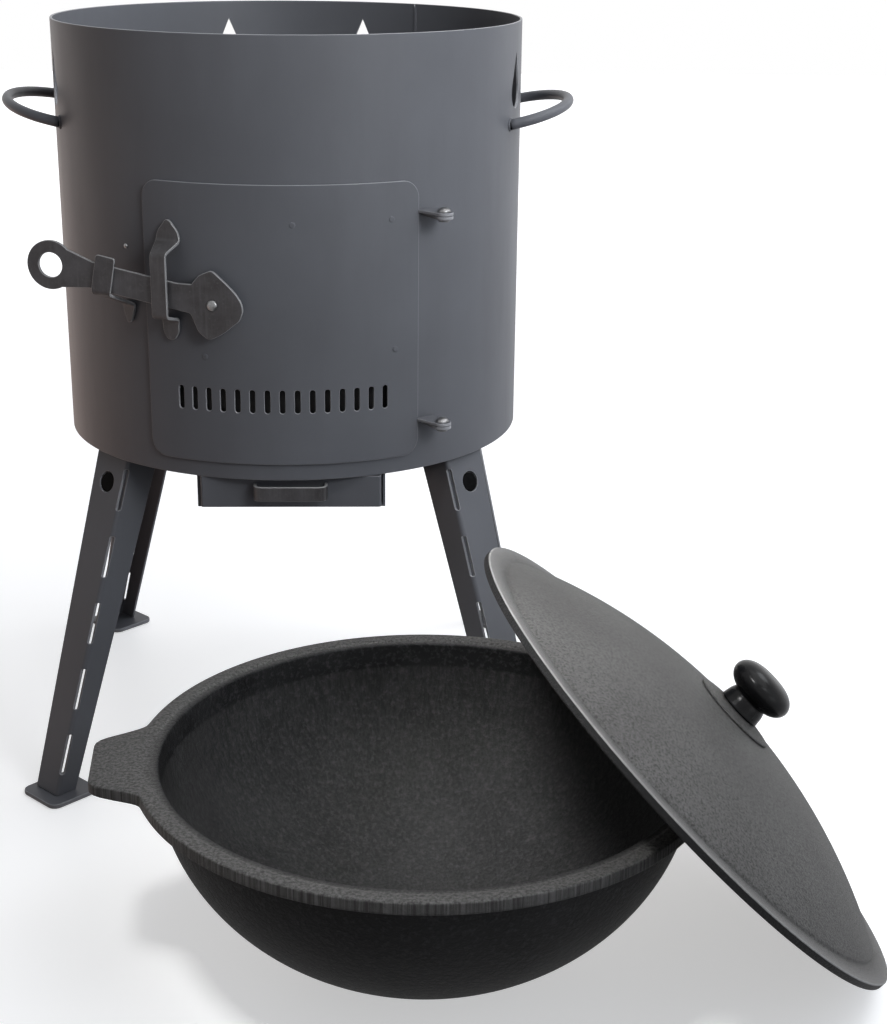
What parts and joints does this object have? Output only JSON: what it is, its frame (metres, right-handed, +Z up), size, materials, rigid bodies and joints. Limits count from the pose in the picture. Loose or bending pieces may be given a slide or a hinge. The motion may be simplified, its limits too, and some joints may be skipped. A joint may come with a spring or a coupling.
{
  "type": "solid-fuel cauldron stove",
  "caption": "Round sheet-steel camp stove on splayed legs with hinged door, latch and ash drawer, beside a round-bottomed cast-iron cauldron with its lid leaning on it.",
  "frame": {"origin": "centre of the whole set's bounding box on the floor under the feet", "axes": "+Z up; -Y towards the viewer, out of the stove's door side; +X to the viewer's right"},
  "size_m": [0.6792, 0.8424, 0.6245],
  "materials": {
    "drum_paint": "satin graphite heat-proof paint",
    "latch_steel": "dark oiled steel",
    "bare_steel": "bare satin steel",
    "soot_steel": "matt black",
    "cast_iron": "rough as cast",
    "lid_iron": "ground and oiled",
    "knob_black": "semi-gloss black"
  },
  "bodies": {
    "stove_body": {"drawer_housing": "drum_paint", "drum_shell": "drum_paint", "fire_grate": "soot_steel", "foot_plate_back_left": "drum_paint", "foot_plate_back_right": "drum_paint", "foot_plate_front_left": "drum_paint", "foot_plate_front_right": "drum_paint", "hearth_plate": "soot_steel", "hinge_lug_lower": "drum_paint", "hinge_lug_upper": "drum_paint", "hinge_pin_lower": "latch_steel", "hinge_pin_upper": "latch_steel", "latch_keeper": "latch_steel", "leg_back_left": "drum_paint", "leg_back_right": "drum_paint", "leg_bracket_back_left": "soot_steel", "leg_bracket_back_right": "soot_steel", "leg_bracket_front_left": "soot_steel", "leg_bracket_front_right": "soot_steel", "leg_front_left": "drum_paint", "leg_front_right": "drum_paint", "leg_stud_back_left": "soot_steel", "leg_stud_back_right": "soot_steel", "leg_stud_front_left": "soot_steel", "leg_stud_front_right": "soot_steel", "side_handle_left": "drum_paint", "side_handle_right": "drum_paint"},
    "door_body": {"door_panel": "drum_paint", "door_heat_shield": "soot_steel", "shield_rivet_1": "latch_steel", "shield_rivet_2": "latch_steel", "shield_rivet_3": "latch_steel", "shield_rivet_4": "latch_steel", "latch_guide": "latch_steel", "latch_pivot": "bare_steel"},
    "latch_body": {"latch_bar": "latch_steel"},
    "drawer_body": {"ash_drawer": "drum_paint", "drawer_pull": "latch_steel"},
    "cauldron_body": {"cauldron": "cast_iron"},
    "lid_body": {"lid": "lid_iron", "knob_plate": "lid_iron", "lid_knob": "knob_black", "knob_screw": "bare_steel", "knob_washer": "bare_steel"}
  },
  "joints": [
    {"name": "door_swing", "type": "hinge", "parent": "stove_body", "child": "door_body", "pos_m": [0.02681, 0.0293, 0.405], "axis": [0, 0, 1], "range_deg": [0, 105]},
    {"name": "latch_lift", "type": "hinge", "parent": "door_body", "child": "latch_body", "pos_m": [-0.15047, 0.00702, 0.4235], "axis": [0.2521, 0.9677, 0], "range_deg": [0, 18]},
    {"name": "drawer_slide", "type": "slide", "parent": "stove_body", "child": "drawer_body", "axis": [0, -1, 0], "range_m": [0, 0.16]},
    {"name": "cauldron_lift", "type": "slide", "parent": "stove_body", "child": "cauldron_body", "axis": [0, -0.8, 0.6], "range_m": [0, 0.2]},
    {"name": "lid_lift", "type": "slide", "parent": "cauldron_body", "child": "lid_body", "axis": [0.7054, 0.0493, 0.7071], "range_m": [0, 0.1]}
  ]
}
